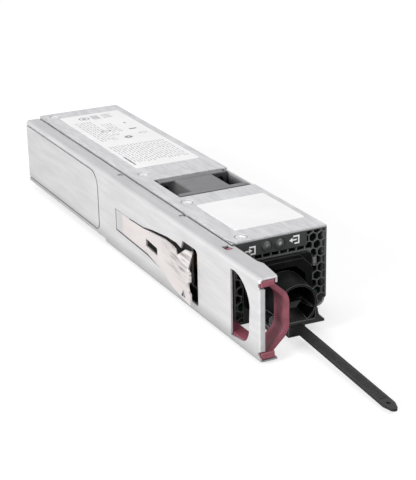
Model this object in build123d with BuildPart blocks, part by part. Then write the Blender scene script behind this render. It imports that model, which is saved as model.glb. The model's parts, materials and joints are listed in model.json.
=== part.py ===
from build123d import *
import os

os.makedirs("parts", exist_ok=True)

# A plug-in mains power supply for a network switch: a 1U case with a fan inside, a sheet channel
# down its left side that ends in a pull handle, and a sprung finger that locks it in its bay.
# Origin: centre of the case's underside. +Y runs to the rear, +X to the right, +Z up. Millimetres.

# Case
case_width = 49.4
case_length = 246.0
case_height = 41.2
sheet = 1.0
case_bend = 4.0
case_front = -case_length / 2
case_rear = case_length / 2
case_left = -case_width / 2
case_right = case_width / 2
cover_underside = case_height - sheet

# Side channel with the pull handle
channel_width = 8.9
channel_height = 39.7
channel_reach = 40.0
channel_bend = 2.0
plate_face = case_left - channel_width
plate_back = plate_face + sheet
handle_front = case_front - channel_reach
flange_edge = case_left + 0.6
flange_bulge = case_left + 1.8
lip_width = 2.8
lip_low = 4.8
foot_end = case_front + 128.0
foot_step = 2.5
groove_front = case_front + 137.0
groove_low = 4.2
groove_height = 33.5
groove_width = 1.1
groove_depth = 0.6

# Locking finger, cut from the channel's plate
finger_root = case_front + 113.5
finger_tip = case_front + 19.5
finger_bend_y = case_front + 75.0
finger_out = 4.0
finger_slit = 0.8
seam_gap = 0.7

# Release slide, moulded
slide_gap = 0.3
peg_x = plate_face + 5.6
peg_y = case_front - 0.4
slot_width = 3.4
slot_length = 5.5
bail_thickness = 2.4
bail_depth = 9.4
bail_x = plate_face + 14.8
arm_height = 3.2

# Cover screws
screw_x = case_left + 7.1
screw_y = [case_front + y for y in (5.9, 61.3, 112.2, 239.7)]
screw_top = case_height - 0.3
screw_length = 4.7
screw_head = 3.0
screw_shank = 1.45

# Fan
fan_side = 40.0
fan_depth = 28.0
fan_centre = Vector(2.6, case_front + 84.6, sheet + fan_side / 2)
fan_bore = 38.0
fan_corner_cut = 9.6
rotor_radius = 18.4
hub_radius = 10.5
blade_count = 7
shaft_radius = 1.5
bearing_gap = 0.05

# Front panel
grille_thickness = 1.2
hex_flats = 4.0
hex_pitch = 4.5
hex_row = 3.9
hex_origin_x = 17.4
hex_origin_z = 28.2
strip_left = case_left + 0.9
strip_right = 13.6
strip_bottom = 32.9
lamp_radius = 2.5
lamp_z = 36.7
lamp_x = (-7.5, -0.7)

# Mains inlet
inlet_x = -1.6
inlet_z = 17.8
inlet_width = 24.4
inlet_height = 16.5
inlet_corner = 5.0
inlet_depth = 17.0
bezel_front = case_front - 5.0
pin_section = (2.0, 4.0)
pin_spots = ((inlet_x - 7, inlet_z - 2), (inlet_x, inlet_z + 2), (inlet_x + 7, inlet_z - 2))

# Cord strap and clamp
strap_start = Vector(-2.7, case_front, 4.4)
strap_end = Vector(-7.35, case_front - 105.2, 0.75)
strap_width = 5.7
strap_thickness = 1.2
strap_gap = 0.25
clamp_rear = 7.0
clamp_length = 14.0
collar_radius = 11.5
collar_front_radius = 10.2
collar_wall = 1.0
collar_z = 10.4
clasp_gap = 0.3
hinge_radius = 1.1
hinge_bore_gap = 0.08

# Boards inside
board_thickness = 1.6
board_z = 6.0
board_top = board_z + board_thickness
filter_board_y = (case_front + 3.0, fan_centre.Y - fan_depth / 2 - 3.0)
main_board_y = (fan_centre.Y + fan_depth / 2 + 3.0, case_rear + 9.0)
board_half_width = 21.5


def at_y(y):
    """Upright plane facing the front at y: its x is +X and its y is +Z."""
    return Plane.XZ.offset(-y)


def at_x(x):
    """Upright plane facing right at x: its x is +Y and its y is +Z."""
    return Plane.YZ.offset(x)


def at_z(z):
    """Level plane at z."""
    return Plane.XY.offset(z)


def block(x, y, z, mode=Mode.ADD):
    """A box between pairs of limits, inside the part that is being built."""
    with Locations(((x[0] + x[1]) / 2, (y[0] + y[1]) / 2, (z[0] + z[1]) / 2)):
        Box(x[1] - x[0], y[1] - y[0], z[1] - z[0], mode=mode)


def save(piece, name):
    piece.part.label = name
    export_step(piece.part, f"parts/{name}.step")


def groove_outline(x, inset):
    """Outline at x of the stiffening groove on the channel's rear end, made smaller by inset."""
    with BuildSketch(at_x(x), mode=Mode.PRIVATE) as outline:
        with Locations((groove_front + inset, groove_low + inset)):
            groove_size = (case_rear - groove_front - inset, groove_height - 2 * inset)
            Rectangle(*groove_size, align=(Align.MIN, Align.MIN))
        fillet(vertices().group_by(Axis.X)[0].sort_by(Axis.Y)[0], 4.5 - inset)
        fillet(vertices().group_by(Axis.Y)[-1].sort_by(Axis.X)[0], 9.5 - inset)
    return outline.sketch


# Side channel: one galvanised sheet folded to a C, its front 40 mm a pull handle
with BuildPart() as side_channel:
    with BuildSketch(at_y(handle_front)):
        c_section = [
            (flange_bulge, 0),
            (plate_face, 0),
            (plate_face, channel_height),
            (flange_bulge, channel_height),
            (flange_bulge, channel_height - sheet),
            (plate_back, channel_height - sheet),
            (plate_back, sheet),
            (flange_bulge, sheet),
        ]
        Polygon(*c_section, align=None)
        fillet(vertices().group_by(Axis.X)[0], channel_bend)
        fillet(vertices().filter_by(lambda v: abs(v.X - plate_back) < 0.01), channel_bend - sheet)
    extrude(amount=handle_front - case_rear)
    # the flanges' inner edge, a little wider just behind the handle's front
    with BuildSketch(at_z(-1)):
        with BuildLine():
            Polyline(
                (case_left - seam_gap, case_rear + 1),
                (case_left - seam_gap, case_front),
                (flange_edge, case_front),
                (flange_edge, case_front - 21),
                (flange_bulge, case_front - 25),
                (case_left, handle_front),
                (case_left, handle_front - 1),
                (flange_bulge + 1, handle_front - 1),
                (flange_bulge + 1, case_rear + 1),
                close=True,
            )
        make_face()
    extrude(amount=channel_height + 2, mode=Mode.SUBTRACT)
    # short lip turned down from the top flange, beside the slide's upper block
    with BuildSketch(at_z(channel_height - sheet)):
        lip_back = (flange_bulge, case_front - 25)
        lip_front = (case_left, handle_front)
        Polygon(
            lip_back,
            lip_front,
            (lip_front[0] - sheet, lip_front[1]),
            (lip_back[0] - sheet, lip_back[1]),
            align=None,
        )
    extrude(amount=-2.0)
    # lip across the handle's front, stopping short of both flanges for the slide's blocks
    with BuildSketch(at_z(lip_low)):
        with Locations((plate_face, handle_front)):
            Rectangle(lip_width, sheet, align=(Align.MIN, Align.MIN))
    extrude(amount=channel_height - 2 * lip_low)
    lip_corner = side_channel.edges().filter_by(Axis.Z).sort_by_distance((plate_face, handle_front, 20))
    fillet(lip_corner[0], 0.9)
    # bend reliefs at the lip's ends
    with BuildSketch(at_x(plate_face - 1)):
        with Locations((handle_front, channel_height - lip_low + 1), (handle_front, lip_low - 1)):
            Circle(1.5)
    extrude(amount=lip_width + 1.5, mode=Mode.SUBTRACT)
    # D-shaped hand hole
    with BuildSketch(at_x(plate_face - 1)):
        with BuildLine():
            rear_edge = Line((case_front - 13.7, 3.4), (case_front - 13.7, 35.5))
            top_arc = ThreePointArc(rear_edge @ 1, (case_front - 25.0, 33.2), (case_front - 31.3, 24.2))
            front_edge = Line(top_arc @ 1, (case_front - 30.5, 12.7))
            low_arc = ThreePointArc(front_edge @ 1, (case_front - 28.6, 7.2), (case_front - 23.2, 4.4))
            Line(low_arc @ 1, rear_edge @ 0)
        make_face()
    extrude(amount=sheet + 2, mode=Mode.SUBTRACT)
    # opening for the locking finger, and the window that its ramp draws back into
    with BuildSketch(at_x(plate_face - 1)):
        Polygon(
            (finger_root + finger_slit, 24.4),
            (finger_root + finger_slit, 12.5),
            (case_front + 75.4, 11.2),
            (case_front + 57.6, 9.0),
            (case_front + 40.0, 5.6),
            (case_front + 19.0, 4.8),
            (case_front + 19.0, 32.7),
            (case_front + 34.5, 32.7),
            (case_front + 36.2, 28.4),
            (case_front + 41.0, 29.4),
            (case_front + 52.0, 29.0),
            (case_front + 68.6, 27.0),
            (case_front + 79.0, 25.2),
            (case_front + 96.5, 24.4),
            align=None,
        )
        window_corner = vertices().sort_by_distance((case_front + 19, 32.7))[0]
        fillet(window_corner, 2.5)
    extrude(amount=sheet + 2, mode=Mode.SUBTRACT)
    # rear end of the plate: the bottom flange stops, and a groove pressed round the end stiffens it
    with BuildSketch(at_x(plate_face - 1)):
        Polygon(
            (foot_end - 1, -1),
            (foot_end + 2, foot_step),
            (case_rear + 1, foot_step),
            (case_rear + 1, -1),
            align=None,
        )
    extrude(amount=channel_width + 1, mode=Mode.SUBTRACT)
    extrude(groove_outline(plate_face, 0), amount=groove_depth, mode=Mode.SUBTRACT)
    extrude(groove_outline(plate_face, groove_width), amount=groove_depth)
    # half-sheared dimples and the slots that hold the slide's pegs
    with BuildSketch(at_z(channel_height)):
        with Locations((plate_face + 7.0, case_front + 121), (plate_face + 7.0, case_front + 48)):
            Circle(1.9)
    extrude(amount=-0.6, mode=Mode.SUBTRACT)
    with BuildSketch(at_z(-1)):
        with Locations((peg_x, peg_y)):
            Rectangle(slot_width, slot_length)
    extrude(amount=channel_height + 2, mode=Mode.SUBTRACT)
    # welding tabs turned down against the case's left wall
    tab_starts = [case_front + 2 + 56 * i for i in range(5)]
    for tab_y in tab_starts:
        block((case_left - sheet, case_left), (tab_y, tab_y + 14), (28, channel_height))
save(side_channel, "side_channel")

# Locking finger: the tongue of the plate that springs out past its face
tip_x = plate_face - finger_out


def on_finger(y, z):
    """Point on the finger's outer face ahead of its bend."""
    share = (finger_bend_y - y) / (finger_bend_y - finger_tip)
    return Vector(plate_face - share * finger_out, y, z)


with BuildPart() as latch_finger:
    with BuildSketch(at_z(2)):
        Polygon(
            (plate_face, finger_root),
            (plate_face, finger_bend_y),
            (tip_x, finger_tip),
            (tip_x + sheet, finger_tip),
            (plate_back, finger_bend_y),
            (plate_back, finger_root),
            align=None,
        )
    extrude(amount=30)
    # side outline: narrow at the root, deep at the tip, cut down to the fold of its upper corner
    fold_low = on_finger(case_front + 21.2, 23.2)
    fold_high = on_finger(case_front + 35.5, 25.4)
    with BuildSketch(at_x(tip_x - 1)):
        Polygon(
            (finger_root, 24.2),
            (finger_root, 13.3),
            (case_front + 75.4, 12.3),
            (case_front + 57.6, 10.6),
            (case_front + 40.0, 6.8),
            (case_front + 26.0, 6.0),
            (finger_tip, 5.8),
            (finger_tip, 21.8),
            (fold_low.Y, fold_low.Z),
            (fold_high.Y, fold_high.Z),
            (case_front + 37.6, 27.8),
            (case_front + 41.0, 28.3),
            (case_front + 52.0, 28.0),
            (case_front + 68.6, 25.8),
            (case_front + 79.0, 24.4),
            (case_front + 96.5, 23.8),
            (case_front + 96.5, 24.2),
            align=None,
        )
    extrude(amount=16, mode=Mode.INTERSECT)
    # upper front corner, folded inwards as the ramp that the slide pushes on
    ramp_front = Vector(plate_face + 1.8, case_front + 27.0, 29.0)
    ramp_rear = Vector(plate_face + 1.8, case_front + 33.0, 27.6)
    fold_line = fold_high - fold_low
    ramp_normal = fold_line.cross(ramp_front - fold_low).normalized()
    ramp_plane = Plane(origin=fold_low, x_dir=fold_line, z_dir=ramp_normal)
    ramp_corners = []
    for corner in (fold_low, fold_high, ramp_rear, ramp_front):
        flat_corner = ramp_plane.to_local_coords(corner)
        ramp_corners.append((flat_corner.X, flat_corner.Y))
    with BuildSketch(ramp_plane):
        Polygon(*ramp_corners, align=None)
    extrude(amount=sheet)
    # pierced hole ahead of the bend, and the round and three-cornered reliefs of the press tool
    with BuildSketch(at_x(tip_x - 1)):
        with Locations((case_front + 69.0, 17.9)):
            Rectangle(15.5, 4.0)
        with Locations((finger_tip - 0.3, 14.5)):
            Circle(3.0)
        with Locations((case_front + 19.9, 24.0)):
            Circle(1.7)
        Polygon(
            (case_front + 30.5, 6.9),
            (case_front + 25.2, 7.3),
            (case_front + 27.8, 11.0),
            align=None,
        )
    extrude(amount=finger_out + 2, mode=Mode.SUBTRACT)
save(latch_finger, "latch_finger")

# Release slide: one moulding with a thumb bail in front, two arms and a nose that draws the finger in
slide_left = plate_back + slide_gap
slide_right = case_left - sheet - slide_gap - 0.1
arm_low = sheet + slide_gap
arm_high = channel_height - sheet - slide_gap
nose_tip = case_front + 18.0
nose_width = 4.5
with BuildPart() as release_slide:
    # arms along both flanges
    for arm_bottom in (arm_low, arm_high - arm_height):
        with BuildSketch(at_z(arm_bottom)):
            with BuildLine():
                Polyline(
                    (slide_left, handle_front),
                    (slide_right, handle_front),
                    (slide_right, case_front + 6),
                    (slide_left + 4.5, case_front + 12),
                    (slide_left, case_front + 12),
                    close=True,
                )
            make_face()
        extrude(amount=arm_height)
    # cross web that joins the arms behind the hand hole, with the nose on its rear
    block((slide_left, slide_left + 3.2), (case_front - 5, case_front - 1.5), (arm_low, arm_high))
    with BuildSketch(at_z(22)):
        Polygon(
            (slide_left, case_front - 4),
            (slide_left + nose_width, case_front - 4),
            (slide_left + nose_width, nose_tip - 4),
            (slide_left + nose_width / 2, nose_tip),
            (slide_left, nose_tip),
            align=None,
        )
    extrude(amount=8)
    # bail: a flat strap that steps inwards from the lower block and back to the upper one
    with BuildSketch(at_y(handle_front + 2)):
        with BuildLine():
            bail_path = FilletPolyline(
                (slide_left + 4.8, arm_low + 2.4),
                (bail_x, 11.8),
                (bail_x, channel_height - 11.4),
                (slide_left + 4.8, arm_high - 2.4),
                radius=7.5,
            )
        trace(line_width=bail_thickness)
    extrude(amount=-bail_depth)
    # pips at mid height, and the pegs that show in the flanges' slots
    with BuildSketch(at_x(bail_x - bail_thickness / 2 - 0.5)):
        with Locations((handle_front + 5, 21)):
            Circle(0.8)
    extrude(amount=bail_thickness + 1.0)
    for peg_base, peg_way in ((arm_high, 1), (arm_low, -1)):
        with BuildSketch(at_z(peg_base)):
            with Locations((peg_x, peg_y - slot_length / 2 + 0.15)):
                Rectangle(2.8, 2.2, align=(Align.CENTER, Align.MIN))
        extrude(amount=peg_way * (slide_gap + 0.9))
    front_edges = release_slide.edges().filter_by(Axis.X).group_by(Axis.Y)[0]
    chamfer(front_edges, 0.4)
save(release_slide, "release_slide")

# Case tray: a U of sheet with round bottom bends, pierced behind the locking finger
ramp_window = ((case_front + 17, case_front + 43), (5.0, 33.5))
with BuildPart() as case_tray:
    tray_front = case_front + grille_thickness
    with BuildSketch(at_y(tray_front)):
        Polygon(
            (case_left, cover_underside),
            (case_left, 0),
            (case_right, 0),
            (case_right, cover_underside),
            (case_right - sheet, cover_underside),
            (case_right - sheet, sheet),
            (case_left + sheet, sheet),
            (case_left + sheet, cover_underside),
            align=None,
        )
        fillet(vertices().group_by(Axis.Y)[0], case_bend)
        fillet(vertices().group_by(Axis.Y)[1], case_bend - sheet)
    extrude(amount=-(case_rear - tray_front - sheet))
    # flange along the top of the left wall that takes the cover's screws, interrupted at the fan
    for shelf_y in ((tray_front, fan_centre.Y - 17), (fan_centre.Y + 17, case_rear - sheet)):
        block((case_left + sheet, case_left + 11.5), shelf_y, (cover_underside - sheet, cover_underside))
    with Locations(*[(screw_x, y, cover_underside) for y in screw_y]):
        Hole(screw_shank + 0.05, depth=2 * sheet)
    # opening in the left wall behind the locking finger's folded corner
    block((case_left - 1, case_left + sheet + 1), *ramp_window, Mode.SUBTRACT)
save(case_tray, "case_tray")

# Top cover: flat sheet with a window over the fan, and a rear part wrapped over the right wall
window_left = fan_centre.X - fan_side / 2 - 0.4
window_y = (fan_centre.Y - 15.9, fan_centre.Y + 15.9)
with BuildPart() as top_cover:
    with BuildSketch(at_z(cover_underside)):
        Polygon(
            (case_left, case_rear),
            (case_left, case_front + 8),
            (case_left + 1.7, case_front),
            (case_right, case_front),
            (case_right, case_rear),
            align=None,
        )
    extrude(amount=sheet)
    block((window_left, case_right + 1), window_y, (cover_underside - 1, case_height + 1), Mode.SUBTRACT)
    block((case_right, case_right + 0.6), (window_y[1], case_rear), (case_height - 7, case_height))
    wrap_edge = top_cover.edges().filter_by(Axis.Y).group_by(Axis.X)[-1].sort_by(Axis.Z)[-1]
    fillet(wrap_edge, 0.5)
    cover_corner = (case_right, case_front + 30, case_height)
    front_edge = top_cover.edges().filter_by(Axis.Y).sort_by_distance(cover_corner)[0]
    fillet(front_edge, 0.7)
    with Locations(*[(screw_x, y, case_height) for y in screw_y]):
        CounterSinkHole(screw_shank + 0.1, screw_head + 0.4, depth=sheet, counter_sink_angle=90)
save(top_cover, "top_cover")

with BuildPart() as cover_screws:
    for y in screw_y:
        with BuildSketch(at_y(y)):
            Polygon(
                (screw_x, screw_top),
                (screw_x + screw_head, screw_top),
                (screw_x + screw_shank, case_height - sheet),
                (screw_x + screw_shank, screw_top - screw_length),
                (screw_x, screw_top - screw_length),
                align=None,
            )
        revolve(axis=Axis((screw_x, y, 0), (0, 0, 1)))
save(cover_screws, "cover_screws")

# Front panel: painted steel punched with hexagons, pierced for the inlet, the lamps and the strap
anchor_z = strap_start.Z
with BuildPart() as front_grille:
    with BuildSketch(at_y(case_front + grille_thickness)):
        Polygon(
            (case_left, 0),
            (case_right - 5.5, 0),
            (case_right, 5.0),
            (case_right, cover_underside),
            (case_left, cover_underside),
            align=None,
        )
        fillet(vertices().sort_by_distance((case_left, 0))[0], case_bend)
    extrude(amount=grille_thickness)
    with BuildSketch(at_y(case_front)):
        hex_spots = []
        for row in range(-7, 4):
            shift = 0 if row % 2 == 0 else hex_pitch / 2
            for column in range(-10, 3):
                hex_spots.append((hex_origin_x + shift + column * hex_pitch, hex_origin_z + row * hex_row))
        with Locations(*hex_spots):
            RegularPolygon(hex_flats / 2, 6, major_radius=False, rotation=30)
        with BuildSketch(mode=Mode.INTERSECT):
            right_window = ((16.1, case_right - 0.9), (1.2, cover_underside - 0.6))
            left_window = ((case_left + 0.9, -20.0), (1.2, strip_bottom))
            under_strip = ((-20.5, 16.5), (31.0, strip_bottom))
            for (x_low, x_high), (z_low, z_high) in (right_window, left_window, under_strip):
                with Locations((x_low, z_low)):
                    Rectangle(x_high - x_low, z_high - z_low, align=(Align.MIN, Align.MIN))
            with Locations((strip_right + 0.3, strip_bottom)):
                Rectangle(3, cover_underside - 0.6 - strip_bottom, align=(Align.MIN, Align.MIN))
    extrude(amount=-grille_thickness, mode=Mode.SUBTRACT)
    with BuildSketch(at_y(case_front)):
        with Locations((inlet_x, inlet_z)):
            Rectangle(inlet_width + 3.2, inlet_height + 3.2)
        with Locations(*[(x, lamp_z) for x in lamp_x]):
            Circle(lamp_radius + 0.1)
        with Locations((strap_start.X, anchor_z)):
            Rectangle(6.6, 3.2)
    extrude(amount=-grille_thickness, mode=Mode.SUBTRACT)
save(front_grille, "front_grille")

with BuildPart() as indicator_strip:
    with BuildSketch(at_y(case_front)):
        with Locations(((strip_left + strip_right) / 2, (strip_bottom + cover_underside) / 2)):
            RectangleRounded(strip_right - strip_left, cover_underside - strip_bottom - 0.3, 0.8)
        with Locations(*[(x, lamp_z) for x in lamp_x]):
            Circle(lamp_radius + 0.1, mode=Mode.SUBTRACT)
    extrude(amount=0.4)
save(indicator_strip, "indicator_strip")

# Lamps: light pipes with domed faces, and the small board that carries their sources
for lamp_name, x in zip(("input_lamp", "output_lamp"), lamp_x):
    with BuildPart() as lamp:
        with BuildSketch(Plane.XY):
            with BuildLine():
                dome = ThreePointArc((0, 1.1), (1.5, 0.8), (lamp_radius, 0.3))
                Polyline(dome @ 1, (lamp_radius, -5), (0, -5), dome @ 0)
            make_face()
        revolve(axis=Axis.Y)
    placed_lamp = Plane(origin=(x, case_front, lamp_z), x_dir=(1, 0, 0), z_dir=(0, 0, -1)) * lamp.part
    placed_lamp.label = lamp_name
    export_step(placed_lamp, f"parts/{lamp_name}.step")

with BuildPart() as indicator_board:
    block((-12.6, 6), (case_front + 5, case_front + 6), (33, 39.6))
save(indicator_board, "indicator_board")

# Mains inlet: moulded socket with two chamfered upper corners and three flat pins
def inlet_outline(width, height, corner, plane_y, z_shift=0.0):
    """Inlet shape: a rectangle with its two upper corners cut off."""
    with BuildSketch(at_y(plane_y), mode=Mode.PRIVATE) as outline:
        with Locations((inlet_x, inlet_z + z_shift)):
            Rectangle(width, height)
        chamfer(vertices().group_by(Axis.Y)[-1], corner)
        fillet(vertices().group_by(Axis.Y)[0], 1.5)
    return outline.sketch


with BuildPart() as ac_inlet:
    with BuildSketch(at_y(case_front)):
        with Locations((inlet_x - 0.2, 18.7)):
            RectangleRounded(35.4, 23.0, 3.0)
    extrude(amount=1.6)
    extrude(inlet_outline(32.4, 22.0, 5.4, case_front - 1.6, 0.9), amount=3.4, taper=10)
    extrude(inlet_outline(inlet_width + 3, inlet_height + 3, 5.6, case_front), amount=-inlet_depth)
    socket = inlet_outline(inlet_width, inlet_height, inlet_corner, bezel_front - 1)
    extrude(socket, amount=-(inlet_depth + 4.5), mode=Mode.SUBTRACT)
    with BuildSketch(at_y(case_front + inlet_depth + 1)):
        with Locations(*pin_spots):
            Rectangle(*pin_section)
    extrude(amount=4, mode=Mode.SUBTRACT)
save(ac_inlet, "ac_inlet")

with BuildPart() as inlet_pins:
    pin_rear = case_front + inlet_depth + 3
    with BuildSketch(at_y(pin_rear)):
        with Locations(*pin_spots):
            Rectangle(*pin_section)
    extrude(amount=pin_rear - case_front + 0.6)
    chamfer(inlet_pins.faces().filter_by(Axis.Y).group_by(Axis.Y)[0].edges(), 0.5)
save(inlet_pins, "inlet_pins")

# Cord strap: flat nylon strip plugged into the panel below the inlet
strap_way = (strap_end - strap_start).normalized()
strap_length = (strap_end - strap_start).length
strap_plane = Plane(origin=strap_start, x_dir=(1, 0, 0), z_dir=strap_way)
strap_underside = strap_start - strap_plane.y_dir * strap_thickness / 2
strap_flat = Plane(origin=strap_underside, x_dir=strap_way, z_dir=strap_plane.y_dir)
with BuildPart() as retention_strap:
    with BuildSketch(strap_flat):
        with BuildLine():
            half = strap_width / 2
            upper = Line((0, half), (strap_length - 5, half))
            tip = ThreePointArc((strap_length - 1.2, 1.6), (strap_length, 0), (strap_length - 1.2, -1.6))
            lower = Line((strap_length - 5, -half), (0, -half))
            Line(upper @ 1, tip @ 0)
            Line(tip @ 1, lower @ 0)
            Line(lower @ 1, upper @ 0)
        make_face()
        with Locations((strap_length - 5.5, 0)):
            Circle(1.0, mode=Mode.SUBTRACT)
    extrude(amount=strap_thickness)
    # anchor: a flange on the panel's face and a plug through its hole
    for half_width, half_height, y_range in (
        (4.2, 2.4, (case_front - 1.4, case_front)),
        (3.2, 1.5, (case_front - 0.1, case_front + 3)),
    ):
        anchor_width = (strap_start.X - half_width, strap_start.X + half_width)
        block(anchor_width, y_range, (anchor_z - half_height, anchor_z + half_height))
save(retention_strap, "retention_strap")

# Cord clamp: a sled that ratchets along the strap, with a hinged collar over the plug's neck
clamp_plane = strap_plane.offset(clamp_rear)
deck_low = strap_thickness / 2 + strap_gap
deck_bottom = -0.1
deck_high = deck_low + 1.4
hinge_spot = (-10.3, deck_high + 1.3)
knuckle_radius = 2.2
deck_reach = 14.2
ear_inner = 9.3
ear_top = deck_low + 6.4
block_width = 8.4
block_depth = 5.0
knuckle_ends = ((0, 3.4), (clamp_length - 3.4, clamp_length))
with BuildPart() as clamp_base:
    with BuildSketch(clamp_plane):
        with BuildLine():
            ear_low = Line((-deck_reach, deck_bottom), (deck_reach, deck_bottom))
            ear_tip = Line(ear_low @ 1, (deck_reach, deck_bottom + 1.2))
            ear_curve = ThreePointArc(ear_tip @ 1, (11.4, deck_low + 3.0), (10.6, ear_top))
            Polyline(
                ear_curve @ 1,
                (ear_inner, ear_top),
                (ear_inner, deck_high),
                (-deck_reach, deck_high),
                ear_low @ 0,
            )
        make_face()
        with Locations((0, deck_bottom)):
            Rectangle(block_width, block_depth, align=(Align.CENTER, Align.MAX))
        with Locations((0, 0)):
            Rectangle(strap_width + 2 * strap_gap, strap_thickness + 2 * strap_gap, mode=Mode.SUBTRACT)
    extrude(amount=clamp_length)
    for knuckle_low, knuckle_high in knuckle_ends:
        with BuildSketch(clamp_plane.offset(knuckle_low)):
            with Locations(hinge_spot):
                Circle(knuckle_radius)
                Rectangle(2 * knuckle_radius, 2.0, align=(Align.CENTER, Align.MAX))
                Circle(hinge_radius, mode=Mode.SUBTRACT)
        extrude(amount=knuckle_high - knuckle_low)
    with BuildSketch(clamp_plane.offset(knuckle_ends[0][1])):
        with Locations(hinge_spot):
            Circle(knuckle_radius + clasp_gap)
    extrude(amount=knuckle_ends[1][0] - knuckle_ends[0][1], mode=Mode.SUBTRACT)
    # pawl's window under the strap
    with BuildSketch(clamp_plane.offset(4)):
        with Locations((0, deck_bottom - block_depth)):
            Rectangle(4, block_depth - 1.4, align=(Align.CENTER, Align.MIN))
    extrude(amount=6, mode=Mode.SUBTRACT)
save(clamp_base, "clamp_base")

with BuildPart() as clamp_hinge_pin:
    with BuildSketch(clamp_plane):
        with Locations(hinge_spot):
            Circle(hinge_radius)
    extrude(amount=clamp_length)
save(clamp_hinge_pin, "clamp_hinge_pin")

collar_spot = (0, deck_high + collar_z - 2.3)
with BuildPart() as clamp_arch:
    with BuildSketch(clamp_plane):
        with Locations(collar_spot):
            Circle(collar_radius)
    with BuildSketch(clamp_plane.offset(clamp_length)):
        with Locations(collar_spot):
            Circle(collar_front_radius)
    loft()
    with BuildSketch(clamp_plane.offset(-1)):
        with Locations(collar_spot):
            Circle(collar_radius - collar_wall + 0.1)
    with BuildSketch(clamp_plane.offset(clamp_length + 1)):
        with Locations(collar_spot):
            Circle(collar_front_radius - collar_wall - 0.1)
    loft(mode=Mode.SUBTRACT)
    with BuildSketch(clamp_plane.offset(-1)):
        with Locations((0, deck_high + clasp_gap)):
            Rectangle(40, 20, align=(Align.CENTER, Align.MAX))
        with Locations((ear_inner - clasp_gap, 0)):
            Rectangle(20, ear_top + clasp_gap, align=(Align.MIN, Align.MIN))
    extrude(amount=clamp_length + 2, mode=Mode.SUBTRACT)
    arch_knuckle = (knuckle_ends[0][1] + clasp_gap, knuckle_ends[1][0] - clasp_gap)
    for knuckle_low, knuckle_high in knuckle_ends:
        with BuildSketch(clamp_plane.offset(knuckle_low - 1)):
            with Locations(hinge_spot):
                Circle(knuckle_radius + clasp_gap)
        extrude(amount=knuckle_high - knuckle_low + 1 + clasp_gap, mode=Mode.SUBTRACT)
    with BuildSketch(clamp_plane.offset(arch_knuckle[0])):
        with Locations(hinge_spot):
            Circle(knuckle_radius - 0.1)
    extrude(amount=arch_knuckle[1] - arch_knuckle[0])
    with BuildSketch(clamp_plane.offset(-1)):
        with Locations(hinge_spot):
            Circle(hinge_radius + hinge_bore_gap)
    extrude(amount=clamp_length + 2, mode=Mode.SUBTRACT)
save(clamp_arch, "clamp_arch")

# Fan: square frame with its corners cut away between two flanges, motor cup held by four struts
fan_plane = Plane(origin=fan_centre, x_dir=(1, 0, 0), z_dir=(0, -1, 0))
flange_depth = 3.6
cup_radius = 9.5
bearing_radius = 3.4
with BuildPart() as fan_frame:
    for flange_start in (-fan_depth / 2, fan_depth / 2 - flange_depth):
        with BuildSketch(fan_plane.offset(flange_start)):
            RectangleRounded(fan_side, fan_side, 2.5)
            with GridLocations(32, 32, 2, 2):
                Circle(1.7, mode=Mode.SUBTRACT)
        extrude(amount=flange_depth)
    with BuildSketch(fan_plane.offset(-fan_depth / 2)):
        Rectangle(fan_side - 0.2, fan_side - 0.2)
        chamfer(vertices(), fan_corner_cut)
    extrude(amount=fan_depth)
    with BuildSketch(fan_plane.offset(-fan_depth / 2)):
        Circle(fan_bore / 2)
    extrude(amount=fan_depth, mode=Mode.SUBTRACT)
    with BuildSketch(fan_plane.offset(-fan_depth / 2)):
        Circle(cup_radius)
        with PolarLocations((cup_radius + fan_bore / 2) / 2, 4, start_angle=45):
            Rectangle(fan_bore / 2 - cup_radius + 1, 2.2)
    extrude(amount=2.0)
    with BuildSketch(fan_plane.offset(-fan_depth / 2)):
        Circle(bearing_radius)
    extrude(amount=14)
    with BuildSketch(fan_plane.offset(-fan_depth / 2 + 1)):
        Circle(shaft_radius + bearing_gap)
    extrude(amount=16, mode=Mode.SUBTRACT)
save(fan_frame, "fan_frame")

with BuildPart() as fan_stator:
    with BuildSketch(fan_plane.offset(-fan_depth / 2 + 3)):
        Circle(8.0)
        with PolarLocations(6.6, 4):
            Rectangle(3.4, 2.2, mode=Mode.SUBTRACT)
        Circle(bearing_radius, mode=Mode.SUBTRACT)
    extrude(amount=8)
save(fan_stator, "fan_stator")

with BuildPart() as blade:
    with BuildSketch(Plane.YZ.offset(hub_radius - 0.8)):
        Rectangle(17, 1.3, rotation=52)
    with BuildSketch(Plane.YZ.offset((hub_radius + rotor_radius) / 2)):
        Rectangle(16.5, 1.1, rotation=42)
    with BuildSketch(Plane.YZ.offset(rotor_radius)):
        Rectangle(15.5, 0.9, rotation=33)
    loft()
    Cylinder(rotor_radius, 2 * fan_depth, mode=Mode.INTERSECT)

with BuildPart(fan_plane) as fan_rotor:
    with Locations((0, 0, 0.8)):
        Cylinder(hub_radius, 22)
    with Locations((0, 0, -0.8)):
        Cylinder(hub_radius - 1.4, 22, mode=Mode.SUBTRACT)
    fillet(fan_rotor.edges().filter_by(GeomType.CIRCLE).group_by(Axis.Y)[0], 1.0)
    with PolarLocations(0, blade_count):
        add(blade.part)
    with BuildSketch(fan_plane.offset(-fan_depth / 2 + 1.6)):
        Circle(shaft_radius)
    extrude(amount=fan_depth / 2 + 9.4)
save(fan_rotor, "fan_rotor")

# Boards: a mains filter board ahead of the fan and the converter board behind it
post_x = 18.2
post_rows = (filter_board_y[0] + 4, filter_board_y[1] - 4, main_board_y[0] + 4, case_rear - 12)
with BuildPart() as board_posts:
    with BuildSketch(at_z(sheet)):
        with Locations(*[(x, y) for x in (-post_x, post_x) for y in post_rows]):
            RegularPolygon(2.2, 6)
    extrude(amount=board_z - sheet)
save(board_posts, "board_posts")

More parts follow.
